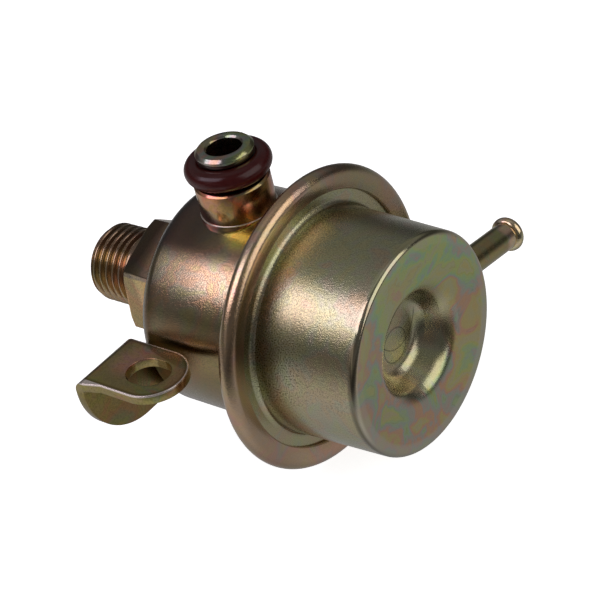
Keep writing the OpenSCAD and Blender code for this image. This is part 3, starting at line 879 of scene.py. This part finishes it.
# Materials of the pieces
COVER = plated("cover_zinc_plate", (0.48, 0.43, 0.27), patch=7.0, shift=0.42, strength=0.32,
               sweep=(0, 0.004, 0.018), rough=0.25, depth=0.038, smooth=end_polish, marks=cover_marks,
               bold=end_film)
HOUSING = plated("housing_zinc_plate", (0.62, 0.48, 0.28), patch=8.0, shift=0.2, strength=0.4,
                 rough=0.18, depth=0.036, smooth=rim_polish, marks=housing_shade, bow=housing_bow)
BRACKET = plated("bracket_zinc_plate", (0.37, 0.29, 0.13), patch=8.0, shift=0.25, strength=0.7,
                 rough=0.22, grain=0.3, depth=0.008, speck=0.8, coat=0.3, marks=tab_film_and_highlight)
FITTING = plated("fitting_zinc_plate", (0.66, 0.47, 0.24), patch=8.0, shift=0.1, strength=0.4,
                 rough=0.20, grain=0.3, depth=0.010, speck=0.8, coat=0.3, marks=thread_film_and_shade)
SPIGOT = plated("spigot_zinc_plate", (0.58, 0.45, 0.32), patch=8.0, shift=-0.14, strength=0.9,
                sweep=(0.065, 0.046, 0), rough=0.16, grain=0.3, depth=0.004, speck=0.9, coat=0.3,
                marks=collar_film)
NIPPLE = plated("nipple_zinc_plate", (0.38, 0.33, 0.14), patch=6.0, shift=0.95, strength=0.45,
                rough=0.18, grain=0.3, depth=0.005, speck=0.9, marks=bead_highlight)
SEAL = rubber("seal_ring_rubber", (0.030, 0.0032, 0.0030), 0.22)
DIAPHRAGM = rubber("diaphragm_rubber_cloth", (0.030, 0.028, 0.026), 0.60)
SPRING = bare_metal("spring_wire_steel", (0.28, 0.29, 0.31), 0.35)
INNER = plated("inner_zinc_plate", (0.50, 0.47, 0.36))
GROUND = bare_metal("ground_steel", (0.55, 0.55, 0.55), 0.25)
BRASS = bare_metal("turned_brass", (0.60, 0.46, 0.20), 0.30)
BRAZE = bare_metal("bright_braze", (0.88, 0.80, 0.72), 0.28)

NODE_MATERIALS = {
    "fuel_housing": HOUSING,
    "spring_cover": COVER,
    "vacuum_nipple": NIPPLE,
    "inlet_o_ring": SEAL,
    "seat_tube": BRASS,
    "ball_retainer": BRASS,
    "spring_seat": INNER,
    "spring_plate": INNER,
    "support_washer": INNER,
    "valve_holder": GROUND,
    "valve_ball": GROUND,
    "valve_plate": GROUND,
}
for node_name, material in NODE_MATERIALS.items():
    nodes[node_name].data.materials[0] = material

# Pieces
outlet_fitting_piece(FITTING)
eased_piece("eased_bracket", "bracket", BRACKET, BRACKET_EDGE)
eased_piece("eased_spigot", "inlet_spigot", SPIGOT, SPIGOT_EDGE)
collar_seam_piece(BRAZE)
nipple_seam_piece(NIPPLE)
main_coil = coil_piece("main_coil", "main_spring", BODY, SPRING, **MAIN_COIL)
coil_piece("ball_coil", "ball_spring", "diaphragm_stack", SPRING, **BALL_COIL)
diaphragm = diaphragm_piece(DIAPHRAGM)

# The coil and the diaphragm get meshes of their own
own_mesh(main_coil)
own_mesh(diaphragm)


# Stage: a pale floor, soft light and the camera

def floor():
    """A pale floor under the object's lowest point."""
    bm = bmesh.new()
    bmesh.ops.create_grid(bm, x_segments=1, y_segments=1, size=FLOOR_SIZE)
    bmesh.ops.translate(bm, verts=bm.verts, vec=(0, 0, cad_box[0].z))
    mesh = bpy.data.meshes.new("floor")
    bm.to_mesh(mesh)
    bm.free()
    made = bpy.data.objects.new("floor", mesh)
    bpy.context.scene.collection.objects.link(made)
    material, graph, shader = new_material("pale_floor")
    set_inputs(graph, shader, Base_Color=(0.9, 0.9, 0.9, 1), Roughness=0.9,
               Emission_Color=(1, 1, 1, 1), Emission_Strength=FLOOR_GLOW)
    mesh.materials.append(material)
    made.visible_glossy = False


def studio_world():
    """Dark room with a bright table below and a soft ceiling."""
    world = bpy.data.worlds.new("studio")
    bpy.context.scene.world = world
    world.use_nodes = True
    graph = Graph(world.node_tree)
    background = world.node_tree.nodes["Background"]
    towards = graph.add("ShaderNodeTexCoord").outputs["Generated"]
    height = graph.parts(towards)["Z"]
    ahead = graph.measure("DOT_PRODUCT", towards, ROOM_AHEAD)
    lowered = graph.math("ADD", height, graph.span(ahead, 0.1, 0.8, 0.0, 0.35))
    share = graph.math("ADD", graph.math("MULTIPLY", lowered, 0.5), 0.5)
    glow = graph.ramp(share, [(stop, (level,) * 3) for stop, level in ROOM_GLOW])
    nearer = graph.span(graph.measure("DOT_PRODUCT", towards, ROOM_NEARER), -1.0, 1.0, 0.75, 1.35)
    screened = graph.span(graph.measure("DOT_PRODUCT", towards, CAMERA_SIDE), 0.45, 0.85, 1.0, 0.3)
    graph.feed(background.inputs["Color"], glow)
    graph.feed(background.inputs["Strength"], graph.product(nearer, screened))


def softbox(name, azimuth, elevation, width, height, turn, brightness, colour):
    """An area light that faces the object, covers the given angles and is turned about its aim."""
    light = bpy.data.lights.new(name, "AREA")
    light.shape = "RECTANGLE"
    light.size = 2 * LIGHT_REACH * tan(radians(width / 2))
    light.size_y = 2 * LIGHT_REACH * tan(radians(height / 2))
    light.color = colour
    light.energy = brightness * pi * light.size * light.size_y
    made = bpy.data.objects.new(name, light)
    away = direction(azimuth, elevation)
    made.location = Vector(CAMERA_TARGET) * MM + away * LIGHT_REACH
    aim = away.to_track_quat("Z", "Y") @ Quaternion(Z_AXIS, radians(turn))
    made.rotation_euler = aim.to_euler()
    bpy.context.scene.collection.objects.link(made)


def camera():
    """The camera at the photo's angle."""
    lens = bpy.data.cameras.new("photo_camera")
    lens.lens = CAMERA_LENS
    lens.sensor_width = SENSOR
    lens.clip_start = 0.01
    made = bpy.data.objects.new("photo_camera", lens)
    place = Vector(CAMERA_PLACE) * MM
    away = place - Vector(CAMERA_TARGET) * MM
    turn = away.to_track_quat("Z", "Y") @ Quaternion(Z_AXIS, radians(CAMERA_ROLL))
    made.matrix_world = Matrix.LocRotScale(place, turn, None)
    bpy.context.scene.collection.objects.link(made)
    bpy.context.scene.camera = made


floor()
studio_world()
for light_name, settings in SOFTBOXES.items():
    softbox(light_name, *settings)
camera()
bpy.context.scene.view_settings.view_transform = "Standard"
